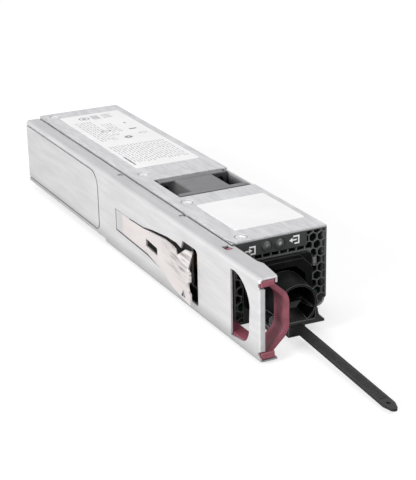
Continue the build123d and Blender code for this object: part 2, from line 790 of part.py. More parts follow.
liner = 0.4
with BuildPart() as insulation_sheet:
    with BuildSketch(at_z(sheet)):
        for y_low, y_high in (filter_board_y, (main_board_y[0], case_rear - 3)):
            with Locations((0, (y_low + y_high) / 2)):
                Rectangle(2 * post_x - 7, y_high - y_low)
    extrude(amount=liner)
    # the film turned up along both walls
    for y_range in (filter_board_y, (main_board_y[0], case_rear - 3)):
        block((case_left + sheet, case_left + sheet + liner), y_range, (case_bend + 1, 37.5))
        block((case_right - sheet - liner, case_right - sheet), y_range, (case_bend + 1, 37.5))
    block((case_left, case_left + sheet + 1), *ramp_window, Mode.SUBTRACT)
save(insulation_sheet, "insulation_sheet")

with BuildPart() as filter_board:
    block((-board_half_width, board_half_width), filter_board_y, (board_z, board_top))
save(filter_board, "filter_board")

card_half_width = 17.0
with BuildPart() as main_board:
    block((-board_half_width, board_half_width), (main_board_y[0], case_rear - 3), (board_z, board_top))
    block((-card_half_width, card_half_width), (case_rear - 3, main_board_y[1]), (board_z, board_top))
    chamfer(main_board.faces().sort_by(Axis.Y)[-1].edges().filter_by(Axis.X), 0.4)
save(main_board, "main_board")

with BuildPart() as card_contacts:
    for contact_z in (board_top, board_z - 0.1):
        with BuildSketch(at_z(contact_z)):
            with Locations((0, main_board_y[1] - 4.4)):
                with GridLocations(2.54, 1, 13, 1):
                    Rectangle(1.7, 7.0)
        extrude(amount=0.1)
save(card_contacts, "card_contacts")


def toroid(centre, radius, wire, upright):
    """Wound ring core, lying flat or standing on its rim."""
    ring_turn = (90, 0, 0) if upright else (0, 0, 0)
    with Locations(Location(centre, ring_turn)):
        Torus(radius, wire)


with BuildPart() as filter_chokes:
    for y in (case_front + 31, case_front + 57):
        toroid((-11.5, y, board_top + 4.2), 6.6, 4.2, False)
save(filter_chokes, "filter_chokes")

with BuildPart() as filter_capacitors:
    for x, y in ((9.5, case_front + 29), (9.5, case_front + 44), (9.5, case_front + 58)):
        block((x - 9, x + 9), (y - 4.5, y + 4.5), (board_top, board_top + 16))
    vertical_edges = filter_capacitors.edges().filter_by(Axis.Z)
    fillet(vertical_edges, 0.6)
save(filter_capacitors, "filter_capacitors")

with BuildPart() as inlet_fuse:
    with BuildSketch(at_y(case_front + 7)):
        with Locations((17.5, board_top + 2.6)):
            Circle(2.6)
    extrude(amount=-16)
save(inlet_fuse, "inlet_fuse")

with BuildPart() as bulk_capacitors:
    with BuildSketch(at_z(board_top)):
        with Locations((10.6, main_board_y[0] + 13), (10.6, main_board_y[0] + 37)):
            Circle(11.0)
    extrude(amount=31)
    rims = bulk_capacitors.edges().filter_by(GeomType.CIRCLE).group_by(Axis.Z)[-1]
    fillet(rims, 0.8)
save(bulk_capacitors, "bulk_capacitors")

with BuildPart() as boost_choke:
    toroid((-12.0, main_board_y[0] + 13, board_top + 11.2), 7.0, 4.2, True)
save(boost_choke, "boost_choke")

with BuildPart() as heat_sinks:
    for fin_side, y_low, length in ((-1, 22, 44), (1, 52, 58)):
        with BuildSketch(at_y(main_board_y[0] + y_low)):
            with Locations((fin_side * 19.0, board_top)):
                Rectangle(2.0, 26, align=(Align.CENTER, Align.MIN))
            for fin_z in range(5, 26, 5):
                with Locations((fin_side * 19.0, board_top + fin_z)):
                    fin_align = Align.MIN if fin_side < 0 else Align.MAX
                    Rectangle(6.0, 1.0, align=(fin_align, Align.CENTER))
        extrude(amount=-length)
save(heat_sinks, "heat_sinks")

core_y = main_board_y[0] + 68
with BuildPart() as transformer_core:
    block((-8, 10), (core_y - 14, core_y - 9), (board_top + 3, board_top + 27))
    block((-8, 10), (core_y + 9, core_y + 14), (board_top + 3, board_top + 27))
    block((-8, 10), (core_y - 9, core_y + 9), (board_top + 3, board_top + 7))
    block((-8, 10), (core_y - 9, core_y + 9), (board_top + 23, board_top + 27))
    with BuildSketch(at_y(core_y - 9)):
        with Locations((1, board_top + 15)):
            Circle(4)
    extrude(amount=-18)
save(transformer_core, "transformer_core")

with BuildPart() as transformer_winding:
    with BuildSketch(at_y(core_y - 8.8)):
        with Locations((1, board_top + 15)):
            Circle(7.8)
            Circle(4.1, mode=Mode.SUBTRACT)
    extrude(amount=-17.6)
save(transformer_winding, "transformer_winding")

with BuildPart() as output_capacitors:
    with BuildSketch(at_z(board_top)):
        with Locations((-3, main_board_y[0] + 120)):
            with GridLocations(10, 10, 4, 2):
                Circle(4.2)
    extrude(amount=16)
save(output_capacitors, "output_capacitors")

with BuildPart() as output_choke:
    toroid((0, main_board_y[0] + 98, board_top + 4.6), 8.2, 4.6, False)
save(output_choke, "output_choke")

with BuildPart() as control_card:
    block((-18.4, -17.2), (main_board_y[0] + 72, main_board_y[0] + 108), (board_top, board_top + 24))
save(control_card, "control_card")

# Rear panel: an exhaust opening, rows of hexagons, and a slot for the card edge
with BuildPart() as rear_panel:
    with BuildSketch(at_y(case_rear)):
        Polygon(
            (case_left, 0),
            (case_right, 0),
            (case_right, cover_underside),
            (case_left, cover_underside),
            align=None,
        )
        fillet(vertices().group_by(Axis.Y)[0], case_bend)
        with Locations((0, (board_z + board_top) / 2)):
            Rectangle(2 * card_half_width + 1, board_thickness + 3, mode=Mode.SUBTRACT)
        for row in range(3):
            row_count = 9 - row % 2
            with Locations((0, 15 + row * hex_row)):
                with GridLocations(hex_pitch, 1, row_count, 1):
                    RegularPolygon(hex_flats / 2, 6, major_radius=False, rotation=30, mode=Mode.SUBTRACT)
        with Locations((0, 32)):
            RectangleRounded(34.0, 11.5, 1.5, mode=Mode.SUBTRACT)
    extrude(amount=sheet)
save(rear_panel, "rear_panel")

# Labels: paper-thin films on the cover
label_film = 0.12
for film_name, film_x, film_y in (
    ("rating_label", (-17.0, 20.5), (case_front + 122.5, case_front + 233.8)),
    ("blank_label", (-16.3, 21.1), (case_front + 13.4, case_front + 54.2)),
):
    with BuildPart() as film:
        with BuildSketch(at_z(case_height)):
            with Locations(((film_x[0] + film_x[1]) / 2, (film_y[0] + film_y[1]) / 2)):
                RectangleRounded(film_x[1] - film_x[0], film_y[1] - film_y[0], 1.5)
        extrude(amount=label_film)
    save(film, film_name)
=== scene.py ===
import json
import math

import bpy
import numpy as np
from mathutils import Matrix, Vector


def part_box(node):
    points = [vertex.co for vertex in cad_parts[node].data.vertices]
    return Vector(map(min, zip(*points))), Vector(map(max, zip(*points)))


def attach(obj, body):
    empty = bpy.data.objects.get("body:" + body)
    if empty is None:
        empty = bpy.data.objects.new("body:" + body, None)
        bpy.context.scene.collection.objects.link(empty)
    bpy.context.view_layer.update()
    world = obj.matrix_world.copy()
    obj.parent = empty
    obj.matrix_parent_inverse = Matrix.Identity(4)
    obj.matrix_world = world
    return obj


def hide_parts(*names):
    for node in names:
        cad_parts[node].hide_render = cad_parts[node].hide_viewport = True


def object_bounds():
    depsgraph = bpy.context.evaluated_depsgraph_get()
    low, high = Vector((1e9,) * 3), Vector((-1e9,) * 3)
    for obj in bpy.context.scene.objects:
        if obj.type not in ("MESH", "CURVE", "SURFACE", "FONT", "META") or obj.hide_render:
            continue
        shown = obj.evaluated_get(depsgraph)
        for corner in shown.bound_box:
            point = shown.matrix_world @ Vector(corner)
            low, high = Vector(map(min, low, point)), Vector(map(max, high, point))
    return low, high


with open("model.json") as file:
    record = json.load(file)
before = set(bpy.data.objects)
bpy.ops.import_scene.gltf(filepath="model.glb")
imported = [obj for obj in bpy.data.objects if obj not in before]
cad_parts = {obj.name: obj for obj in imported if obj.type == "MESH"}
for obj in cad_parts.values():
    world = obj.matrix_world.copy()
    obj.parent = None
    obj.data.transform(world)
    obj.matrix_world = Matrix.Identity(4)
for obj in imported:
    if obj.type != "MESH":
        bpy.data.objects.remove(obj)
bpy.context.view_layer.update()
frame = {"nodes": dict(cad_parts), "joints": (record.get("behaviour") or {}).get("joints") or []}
mm = 0.001

# The photographer stood in front of the module's left corner and looked down on it a little, with
# a long lens from about 0.7 m, so the far end is drawn only slightly smaller than the near one.
camera_place = (-0.29492, -0.63443, 0.26281)
camera_yaw, camera_pitch, camera_roll = (math.radians(a) for a in (-26.7275, 20.8179, -1.1588))
level_back = np.array((math.sin(camera_yaw), -math.cos(camera_yaw), 0.0))
camera_back = level_back * math.cos(camera_pitch) + np.array((0, 0, math.sin(camera_pitch)))
level_right = np.array((math.cos(camera_yaw), math.sin(camera_yaw), 0.0))
level_up = np.cross(camera_back, level_right)
camera_right = math.cos(camera_roll) * level_right + math.sin(camera_roll) * level_up
camera_up = np.cross(camera_back, camera_right)
camera_data = bpy.data.cameras.new("photographer")
camera_data.lens = 103.07
camera_data.sensor_width = 36.0
camera_data.clip_start = 0.01
camera = bpy.data.objects.new("photographer", camera_data)
camera_turn = Matrix(np.column_stack((camera_right, camera_up, camera_back)).tolist())
camera.matrix_world = Matrix.Translation(camera_place) @ camera_turn.to_4x4()
bpy.context.scene.collection.objects.link(camera)
bpy.context.scene.camera = camera
bpy.context.scene.view_settings.view_transform = "Standard"

# A photo table: white paper laid flat, a strong softbox to the left of the camera, a weak one
# overhead and one at the right for the dark front panel. Paper and air are plain white to the lens.
module_middle = Vector((0, -0.03, 0.02))
soft_boxes = {
    "left_box": ((-1.25, -0.42, 0.42), 0.7, 21.5),
    "top_box": ((-0.1, 0.3, 1.7), 0.9, 3.2),
    "right_box": ((0.7, -1.25, 1.1), 0.6, 6.8),
}
for box_name, (box_place, box_side, box_power) in soft_boxes.items():
    lamp_data = bpy.data.lights.new(box_name, "AREA")
    lamp_data.size = box_side
    lamp_data.energy = box_power
    soft_box = bpy.data.objects.new(box_name, lamp_data)
    aim = (Vector(box_place) - module_middle).to_track_quat("Z", "Y")
    soft_box.matrix_world = Matrix.Translation(box_place) @ aim.to_matrix().to_4x4()
    bpy.context.scene.collection.objects.link(soft_box)


def reckoned(tree, operation, *values):
    """Socket with the outcome of one sum, from sockets and plain numbers."""
    made = tree.nodes.new("ShaderNodeMath")
    made.operation = operation
    for socket, value in zip(made.inputs, values):
        if isinstance(value, bpy.types.NodeSocket):
            tree.links.new(value, socket)
        else:
            socket.default_value = value
    return made.outputs[0]


studio = bpy.data.worlds.new("studio_air")
studio.use_nodes = True
studio_tree = studio.node_tree
studio_tree.nodes.clear()
studio_out = studio_tree.nodes.new("ShaderNodeOutputWorld")
studio_mix = studio_tree.nodes.new("ShaderNodeMixShader")
fill_strength, white_strength = 0.50, 1.0
for air_socket, strength in ((1, fill_strength), (2, white_strength)):
    air = studio_tree.nodes.new("ShaderNodeBackground")
    air.inputs["Color"].default_value = (1, 1, 1, 1)
    air.inputs["Strength"].default_value = strength
    studio_tree.links.new(air.outputs[0], studio_mix.inputs[air_socket])
seen = studio_tree.nodes.new("ShaderNodeLightPath").outputs
seen_either = reckoned(studio_tree, "MAXIMUM", seen["Is Camera Ray"], seen["Is Glossy Ray"])
seen_any = reckoned(studio_tree, "MAXIMUM", seen_either, seen["Is Transmission Ray"])
studio_tree.links.new(seen_any, studio_mix.inputs[0])
studio_tree.links.new(studio_mix.outputs[0], studio_out.inputs["Surface"])
bpy.context.scene.world = studio

paper_mesh = bpy.data.meshes.new("paper")
reach = 6.0
paper_corners = [(-reach, -reach, 0), (reach, -reach, 0), (reach, reach, 0), (-reach, reach, 0)]
paper_mesh.from_pydata(paper_corners, [], [(0, 1, 2, 3)])
paper = bpy.data.objects.new("paper", paper_mesh)
paper.location.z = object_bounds()[0][2] - 0.02 * mm
bpy.context.scene.collection.objects.link(paper)


def noise(tree, vector, cycles, detail):
    """Socket with smooth noise of so many cycles a metre."""
    made = tree.nodes.new("ShaderNodeTexNoise")
    made.inputs["Scale"].default_value = cycles
    made.inputs["Detail"].default_value = detail
    tree.links.new(vector, made.inputs["Vector"])
    return made.outputs["Fac"]


def share_between(tree, value, start, end):
    """Socket that climbs from 0 to 1 while the value goes from start to end."""
    made = tree.nodes.new("ShaderNodeMapRange")
    made.inputs["From Min"].default_value = start
    made.inputs["From Max"].default_value = end
    tree.links.new(value, made.inputs["Value"])
    return made.outputs["Result"]


def covered(tree, share, ground, colour):
    """Socket with the ground's colour, covered by share with another colour."""
    made = tree.nodes.new("ShaderNodeMix")
    made.data_type = "RGBA"
    tree.links.new(share, made.inputs["Factor"])
    tree.links.new(ground, made.inputs[6])
    made.inputs[7].default_value = (*colour, 1)
    return made.outputs[2]


def finish(
    name, dark, light, metallic=0.0, roughness=0.5, mottle=60.0, grain=2500.0, relief=0.15,
    drawn=(1, 1, 1), eased=0.25, tinted=None, painted_edge_tone=None, soiled=None, **sockets
):
    """Shader of one finish, in object space. Colour: broad noise of mottle cycles a metre takes it
    from dark to light, and the function tinted may change it. Painted shade takes it to a given colour
    in crevices narrower than 1.5 mm, and a painted edge tone takes it to another where the rounded
    normal leaves the face's own, which is at edges: lighter there as a painted highlight on the dark
    mouldings and paint, darker on the screws.
    Gloss and relief: fine noise of grain cycles a metre, drawn out by drawn along each axis. Edges
    are rounded by eased mm in the shading. Further names are the shader's sockets."""
    material = bpy.data.materials.new(name)
    material.use_nodes = True
    tree = material.node_tree
    shader = tree.nodes["Principled BSDF"]
    shader.inputs["Metallic"].default_value = metallic
    for socket, value in sockets.items():
        shader.inputs[socket.replace("_", " ")].default_value = value
    place = tree.nodes.new("ShaderNodeTexCoord")
    stretch = tree.nodes.new("ShaderNodeMapping")
    stretch.inputs["Scale"].default_value = drawn
    tree.links.new(place.outputs["Object"], stretch.inputs["Vector"])
    ramp = tree.nodes.new("ShaderNodeValToRGB")
    for stop, share, tone in zip(ramp.color_ramp.elements, (0.35, 0.65), (dark, light)):
        stop.position = share
        stop.color = (*tone, 1)
    tree.links.new(noise(tree, stretch.outputs["Vector"], mottle, 4.0), ramp.inputs["Fac"])
    colour = ramp.outputs["Color"]
    fine = noise(tree, stretch.outputs["Vector"], grain, 3.0)
    gloss = tree.nodes.new("ShaderNodeMapRange")
    gloss.inputs["To Min"].default_value = max(0.02, roughness - 0.08)
    gloss.inputs["To Max"].default_value = min(1.0, roughness + 0.08)
    tree.links.new(fine, gloss.inputs["Value"])
    tree.links.new(gloss.outputs["Result"], shader.inputs["Roughness"])
    rounding = tree.nodes.new("ShaderNodeBevel")
    rounding.samples = 4
    rounding.inputs["Radius"].default_value = eased * mm
    bump = tree.nodes.new("ShaderNodeBump")
    bump.inputs["Strength"].default_value = relief
    bump.inputs["Distance"].default_value = 0.05 * mm
    tree.links.new(fine, bump.inputs["Height"])
    tree.links.new(rounding.outputs["Normal"], bump.inputs["Normal"])
    tree.links.new(bump.outputs["Normal"], shader.inputs["Normal"])
    if tinted is not None:
        colour = tinted(tree, colour)
    # Painted shade in crevices narrower than 1.5 mm, found by ambient occlusion.
    if soiled is not None:
        crevice = tree.nodes.new("ShaderNodeAmbientOcclusion")
        crevice.samples = 8
        crevice.inputs["Distance"].default_value = 1.5 * mm
        in_crevice = share_between(tree, crevice.outputs["AO"], 0.85, 0.45)
        colour = covered(tree, in_crevice, colour, soiled)
    # Painted edge tone: colour at edges, where the rounded normal leaves the face's own.
    if painted_edge_tone is not None:
        face = tree.nodes.new("ShaderNodeNewGeometry")
        parting = tree.nodes.new("ShaderNodeVectorMath")
        parting.operation = "DOT_PRODUCT"
        tree.links.new(rounding.outputs["Normal"], parting.inputs[0])
        tree.links.new(face.outputs["Normal"], parting.inputs[1])
        at_edge = share_between(tree, parting.outputs["Value"], 0.99, 0.85)
        colour = covered(tree, at_edge, colour, painted_edge_tone)
    tree.links.new(colour, shader.inputs["Base Color"])
    return material


def coat(material, *nodes):
    """The CAD's own solids keep their shape and get this finish."""
    for node in nodes:
        solid = frame["nodes"][node].data
        solid.materials.clear()
        solid.materials.append(material)


paper_white = finish(
    "paper_white", (0.46, 0.46, 0.46), (0.48, 0.48, 0.48), roughness=0.9, mottle=3.0, grain=400.0,
    eased=0.01, relief=0.02,
)
paper_tree = paper_white.node_tree
paper_shader = paper_tree.nodes["Principled BSDF"]
paper_shader.inputs["Emission Color"].default_value = (1, 1, 1, 1)
lens_ray = paper_tree.nodes.new("ShaderNodeLightPath").outputs["Is Camera Ray"]
lens_glow = reckoned(paper_tree, "MULTIPLY", lens_ray, 0.62)
paper_tree.links.new(lens_glow, paper_shader.inputs["Emission Strength"])
paper_mesh.materials.append(paper_white)

# Case and side channel: zinc-coated steel sheet, 1 mm, cut and folded, satin with a faint spangle
# and a rolling grain along the module. Crevices and the seam between channel and tray get painted
# shade. Painted shade also darkens the walls' foot and the upper flange.
flange_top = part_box("side_channel")[1].z / mm
seam_x, seam_half_width = -25.05, 0.34
case_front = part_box("top_cover")[0].y / mm


def piece_axes(tree):
    """The piece's own x, y and z in metres, as sockets by name."""
    place = tree.nodes.new("ShaderNodeTexCoord")
    axes = tree.nodes.new("ShaderNodeSeparateXYZ")
    tree.links.new(place.outputs["Object"], axes.inputs[0])
    return axes.outputs


def shade_by_height(tree, colour):
    """Painted shade: colour times the share of its brightness left at each height: 0.56 at the foot,
    all from 8.5 mm up to the bend of the upper flange, and 0.84 on that flange."""
    height_share = share_between(tree, piece_axes(tree)["Z"], 0.0, flange_top * mm)
    left_bright = tree.nodes.new("ShaderNodeValToRGB")
    stops = left_bright.color_ramp.elements
    stops[0].color = (0.56, 0.56, 0.56, 1)
    stops[1].color = (0.84, 0.84, 0.85, 1)
    for height, share in ((8.5, 1.0), (flange_top - 1.5, 1.0), (flange_top - 0.5, 0.84)):
        stops.new(height / flange_top).color = (share, share, share, 1)
    tree.links.new(height_share, left_bright.inputs["Fac"])
    shaded = tree.nodes.new("ShaderNodeMix")
    shaded.data_type = "RGBA"
    shaded.blend_type = "MULTIPLY"
    shaded.inputs["Factor"].default_value = 1.0
    tree.links.new(colour, shaded.inputs[6])
    tree.links.new(left_bright.outputs["Color"], shaded.inputs[7])
    return shaded.outputs[2]


zinc = finish(
    "galvanised_sheet", (0.575, 0.57, 0.58), (0.645, 0.64, 0.642), metallic=0.35, roughness=0.42,
    mottle=300.0, grain=1800.0, relief=0.12, drawn=(1, 0.12, 1), eased=0.3, tinted=shade_by_height,
    soiled=(0.26, 0.26, 0.265),
)
coat(zinc, "side_channel", "case_tray", "rear_panel")
zinc_tree = zinc.node_tree
zinc_colour = zinc_tree.nodes["Principled BSDF"].inputs["Base Color"]
zinc_axes = piece_axes(zinc_tree)
# Painted shade in the seam between channel and tray, beside the case.
in_seam = reckoned(zinc_tree, "COMPARE", zinc_axes["X"], seam_x * mm, seam_half_width * mm)
beside_case = reckoned(zinc_tree, "GREATER_THAN", zinc_axes["Y"], (case_front + 0.1) * mm)
seam_share = reckoned(zinc_tree, "MULTIPLY", in_seam, beside_case)
seam_shade = covered(zinc_tree, seam_share, zinc_colour.links[0].from_socket, (0.06, 0.06, 0.063))
zinc_tree.links.new(seam_shade, zinc_colour)

# Top cover: the same sheet from a bluer batch, flat, with a window over the fan. Its rear part is
# wrapped over the right wall, four screws hold it, and only its crevices get painted shade.
cover_zinc = finish(
    "galvanised_cover", (0.53, 0.53, 0.55), (0.65, 0.65, 0.665), metallic=0.35, roughness=0.40,
    mottle=500.0, grain=1800.0, relief=0.10, drawn=(1, 0.18, 1), eased=0.3, soiled=(0.20, 0.20, 0.205),
)
coat(cover_zinc, "top_cover")

# Locking finger: the same sheet, cut free on three sides and sprung outwards, rubbed bright by the
# bay's edge each time the module goes in. Dark streaks on its folded ramp are painted shade of its
# crumpled folds, and its crevices get painted shade.
root_front, root_rear = -19.0, -16.5
streaks_turn, streaks_length = math.radians(18), 1 / 0.07


def root_and_fold_shade(tree, colour):
    """The root's share climbs from y = -19 to -16.5 mm and turns the colour to the plate's grey. The
    streaks of painted fold shade are noise drawn out 14 times along a line 18 degrees off the module's,
    and darken it on the ramp: their share, times one that climbs forwards, times one that climbs upwards."""
    axes = piece_axes(tree)
    root_share = share_between(tree, axes["Y"], root_front * mm, root_rear * mm)
    rooted = covered(tree, root_share, colour, (0.61, 0.605, 0.61))
    place = tree.nodes.new("ShaderNodeTexCoord")
    run = tree.nodes.new("ShaderNodeMapping")
    run.inputs["Rotation"].default_value = (streaks_turn, 0, 0)
    run.inputs["Scale"].default_value = (1, 1 / streaks_length, 1)
    tree.links.new(place.outputs["Object"], run.inputs["Vector"])
    fold_streaks = share_between(tree, noise(tree, run.outputs["Vector"], 700.0, 2.0), 0.45, 0.75)
    forwards = share_between(tree, axes["Y"], -67.0 * mm, -81.0 * mm)
    upwards = share_between(tree, axes["Z"], 13.0 * mm, 21.0 * mm)
    on_ramp = reckoned(tree, "MULTIPLY", forwards, upwards)
    return covered(tree, reckoned(tree, "MULTIPLY", fold_streaks, on_ramp), rooted, (0.22, 0.21, 0.21))


rubbed_zinc = finish(
    "rubbed_sheet", (0.70, 0.65, 0.645), (0.79, 0.74, 0.73), metallic=0.45, roughness=0.33,
    mottle=90.0, grain=2200.0, relief=0.12, drawn=(1, 0.12, 1), eased=0.3, tinted=root_and_fold_shade,
    soiled=(0.20, 0.19, 0.19),
)
coat(rubbed_zinc, "latch_finger")

# Release slide: one satin moulding in maroon, sprung forwards in the channel. The thumb pushes its
# bail, and its arms draw the finger in.
maroon = finish(
    "maroon_moulding", (0.205, 0.052, 0.073), (0.335, 0.098, 0.132), roughness=0.38, mottle=110.0,
    grain=3500.0, relief=0.10, eased=0.5, Specular_IOR_Level=0.5,
)
coat(maroon, "release_slide")

# Cover screws: countersunk steel, zinc-plated, with a cross recess. Four hold the cover down along
# its left side.
screw_x = -17.6
screw_rows = (-117.1, -61.7, -10.8, 116.7)


def full_turn(steps):
    """Angles of one turn in even steps. The last one isn't repeated at its end."""
    return np.linspace(0, 2 * np.pi, steps, endpoint=False)


def grid(first, second):
    """Each value of the first parameter with each of the second, as two arrays."""
    return np.meshgrid(first, second, indexing="ij")


def grid_faces(rows, columns, closed, looped=False):
    """Quads between neighbouring points of a rows by columns grid. Each row joins up with itself if
    closed, and the last row joins the first if looped."""
    row, column = grid(
        np.arange(rows if looped else rows - 1), np.arange(columns if closed else columns - 1)
    )
    after = (column + 1) % columns
    row_start, below_start = row * columns, (row + 1) % rows * columns
    corners = (row_start + column, row_start + after, below_start + after, below_start + column)
    return np.stack(corners, axis=-1).reshape(-1, 4)


def repeated(copies, quads):
    """Points of like forms in one array, and their faces, numbered on from form to form."""
    faces = [quads + i * len(copies[0]) for i in range(len(copies))]
    return np.concatenate(copies), np.concatenate(faces)


def make_piece(name, points, faces, material, slot):
    """A mesh from points in mm and faces, smooth-shaded, that rides on the case."""
    mesh = bpy.data.meshes.new(name)
    mesh.from_pydata((np.asarray(points) * mm).tolist(), [], np.asarray(faces).tolist())
    mesh.polygons.foreach_set("use_smooth", np.ones(len(mesh.polygons), dtype=bool))
    mesh.materials.append(material)
    made = bpy.data.objects.new(name, mesh)
    bpy.context.scene.collection.objects.link(made)
    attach(made, "case")
    return made


def screw_form(across, round_):
    """Countersunk screw: across runs from the head's middle (0) over its rim (1) and cone (2) down
    the shank (3) to the middle of its end (4). On the head the height is the rim's less a cross of
    two soft-edged grooves, deepest in the middle."""
    rim, shank, length, head = 3.0, 1.45, 4.7, 0.7
    groove_half_width, groove_half_length, groove_depth, groove_end = 0.42, 1.6, 1.4, 1.8
    radius = np.interp(across, range(5), (0, rim, shank, shank, 0))
    drop = np.interp(across, range(5), (0, 0, head, length, length))
    x, y = radius * np.cos(round_), radius * np.sin(round_)
    groove_y = np.exp(-((x / groove_half_width) ** 4)) * (np.abs(y) < groove_half_length)
    groove_x = np.exp(-((y / groove_half_width) ** 4)) * (np.abs(x) < groove_half_length)
    groove = np.maximum(groove_y, groove_x) * np.clip(groove_end - radius, 0, 1)
    recess = np.where(across < 1, groove * groove_depth, 0)
    return np.stack((x, y, -drop - recess), axis=-1)


across, round_ = grid(np.concatenate((np.linspace(0.001, 0.98, 22), np.linspace(1, 4, 10))), full_turn(72))
screw = screw_form(across, round_).reshape(-1, 3)
screw_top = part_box("top_cover")[1].z / mm - 0.3
screw_quads = grid_faces(*across.shape, closed=True)
all_screws = repeated([screw + (screw_x, y, screw_top) for y in screw_rows], screw_quads)
# The painted edge tone draws the heads' edges darker.
bright_steel = finish(
    "bright_screw_steel", (0.70, 0.70, 0.71), (0.80, 0.80, 0.81), metallic=0.5, roughness=0.36,
    mottle=400.0, grain=3000.0, relief=0.08, eased=0.4, painted_edge_tone=(0.25, 0.25, 0.26),
)
screws = make_piece("cover_screw_heads", *all_screws, bright_steel, "screw_steel")
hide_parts("cover_screws")

# Painted shade: thin black and grey sheets, laid where the inside lies in shade. Behind the locking
# finger one black strip lies on the lower flange and turns up the tray's wall, another hangs from
# the upper flange, and a grey one lines the wall from the ramp's opening rearwards. A further grey
# one lines the right wall beside the fan.
wall_x, right_wall_x, under_flange = -24.86, 23.5, 38.62
finger_shade_ends = (-106.8, -65.2)


def strip_form(along, share, turns):
    """Bent strip: share runs over its cross-section from corner to corner, and along is y in mm."""
    corner_x, corner_z = np.array(turns).T
    steps = np.arange(len(turns))
    return np.stack((np.interp(share, steps, corner_x), along, np.interp(share, steps, corner_z)), axis=-1)


black_shade_sheet = finish(
    "black_shade_sheet", (0.006, 0.006, 0.006), (0.011, 0.011, 0.011), roughness=0.6, mottle=150.0,
    grain=2500.0, relief=0.1, eased=0.05, Specular_IOR_Level=0.2,
)
grey_shade_sheet = finish(
    "grey_shade_sheet", (0.085, 0.085, 0.09), (0.125, 0.125, 0.13), roughness=0.5, mottle=300.0,
    grain=2500.0, relief=0.1, eased=0.05,
)
low_turns = ((-31.2, 1.1), (-25.6, 1.1), (-24.95, 2.4), (wall_x, 4.9))
high_turns = ((wall_x, 33.6), (wall_x, 38.0), (-25.4, under_flange), (-31.2, under_flange))
wall_turns = ((wall_x, 5.1), (wall_x, 14.0), (wall_x, 24.0), (wall_x, 33.4))
fan_turns = ((right_wall_x, 3.0), (right_wall_x, 14.0), (right_wall_x, 26.0), (right_wall_x, 38.8))
shade_strips = (
    ("channel_shade_low", black_shade_sheet, finger_shade_ends, low_turns),
    ("channel_shade_high", black_shade_sheet, finger_shade_ends, high_turns),
    ("channel_shade_wall", grey_shade_sheet, (-79.7, 16.0), wall_turns),
    ("fan_wall_shade", grey_shade_sheet, (-60.0, -16.0), fan_turns),
)
for strip_name, strip_shade, strip_ends, turns in shade_strips:
    along, share = grid(np.linspace(*strip_ends, 22), np.linspace(0, 3, 19))
    strip = strip_form(along, share, turns).reshape(-1, 3)
    shade_piece = make_piece(strip_name, strip, grid_faces(*along.shape, closed=False), strip_shade, "film")
    shade_sheet_wall = shade_piece.modifiers.new("shade_sheet_wall", "SOLIDIFY")
    shade_sheet_wall.thickness = 0.1 * mm

# Front panel: punched steel in matt dark grey paint with a slight orange peel, set in the tray's
# front end. The moulded strip above the inlet tells the two lamps apart by white printed arrows.
# Painted highlight: the edges of the hexagons are drawn lighter.
panel_paint = finish(
    "panel_paint", (0.056, 0.060, 0.060), (0.080, 0.085, 0.084), roughness=0.5, mottle=150.0,
    grain=2600.0, relief=0.2, eased=0.4, painted_edge_tone=(0.20, 0.205, 0.205), Specular_IOR_Level=0.6,
)
coat(panel_paint, "front_grille")
strip_moulding = finish(
    "strip_moulding", (0.024, 0.026, 0.026), (0.034, 0.037, 0.037), roughness=0.5, mottle=200.0,
    grain=2600.0, relief=0.2, eased=0.3,
)
coat(strip_moulding, "indicator_strip")

strip_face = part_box("indicator_strip")[0].y / mm - 0.03
bracket = (
    (0.0, 4.2), (3.3, 4.2), (3.3, 0.0), (0.6, 0.0), (0.6, 0.75), (2.55, 0.75), (2.55, 3.45), (0.0, 3.45),
)
arrow_in = ((-2.2, 1.75), (-0.2, 1.75), (-0.2, 0.9), (1.6, 2.1), (-0.2, 3.3), (-0.2, 2.45), (-2.2, 2.45))
arrow_out = ((1.8, 1.75), (-0.4, 1.75), (-0.4, 0.9), (-2.2, 2.1), (-0.4, 3.3), (-0.4, 2.45), (1.8, 2.45))
icons = (((-16.7, 33.7), arrow_in), ((6.4, 34.8), arrow_out))
outlines = [np.array(outline) + place for place, arrow in icons for outline in (bracket, arrow)]
ends = np.cumsum([0] + [len(outline) for outline in outlines]).tolist()
across, up = np.concatenate(outlines).T
print_points = np.stack((across, np.full(across.shape, strip_face), up), axis=-1)
print_faces = [list(range(start, end)) for start, end in zip(ends, ends[1:])]
white_print = finish(
    "white_print", (0.82, 0.82, 0.82), (0.90, 0.90, 0.90), roughness=0.55, mottle=900.0,
    grain=4000.0, relief=0.05, eased=0.02,
)
arrows_mesh = bpy.data.meshes.new("strip_arrows")
arrows_mesh.from_pydata((print_points * mm).tolist(), [], print_faces)
arrows_mesh.materials.append(white_print)
arrows = bpy.data.objects.new("strip_arrows", arrows_mesh)
bpy.context.scene.collection.objects.link(arrows)
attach(arrows, "case")

# Lamps: frosted light pipes of clear plastic behind the strip, each in a dark soft ring. The board
# behind them has the light sources, and the pipe's bright core is what shows of it.
frosted = finish(
    "frosted_pipe", (0.05, 0.054, 0.053), (0.085, 0.092, 0.09), roughness=0.35, mottle=500.0,
    grain=3000.0, relief=0.1, eased=0.2, Coat_Weight=0.3, Coat_Roughness=0.2,
)
coat(frosted, "input_lamp", "output_lamp")
ring_radius, ring_tube = 2.75, 0.34
bead_radius, bead_crown, bead_sunk = 0.95, 0.35, 0.12


def box_of(node):
    """A node's lowest and highest corner in mm, and the point halfway between them."""
    low, high = (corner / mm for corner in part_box(node))
    return low, high, (low + high) / 2


def ring_form(turn, tube, middle, radius, tube_radius):
    """Ring facing the front: turn goes round the ring and tube round its section."""
    reach = radius + tube_radius * np.cos(tube)
    x = middle[0] + reach * np.cos(turn)
    z = middle[2] + reach * np.sin(turn)
    return np.stack((x, middle[1] - tube_radius * np.sin(tube), z), axis=-1)


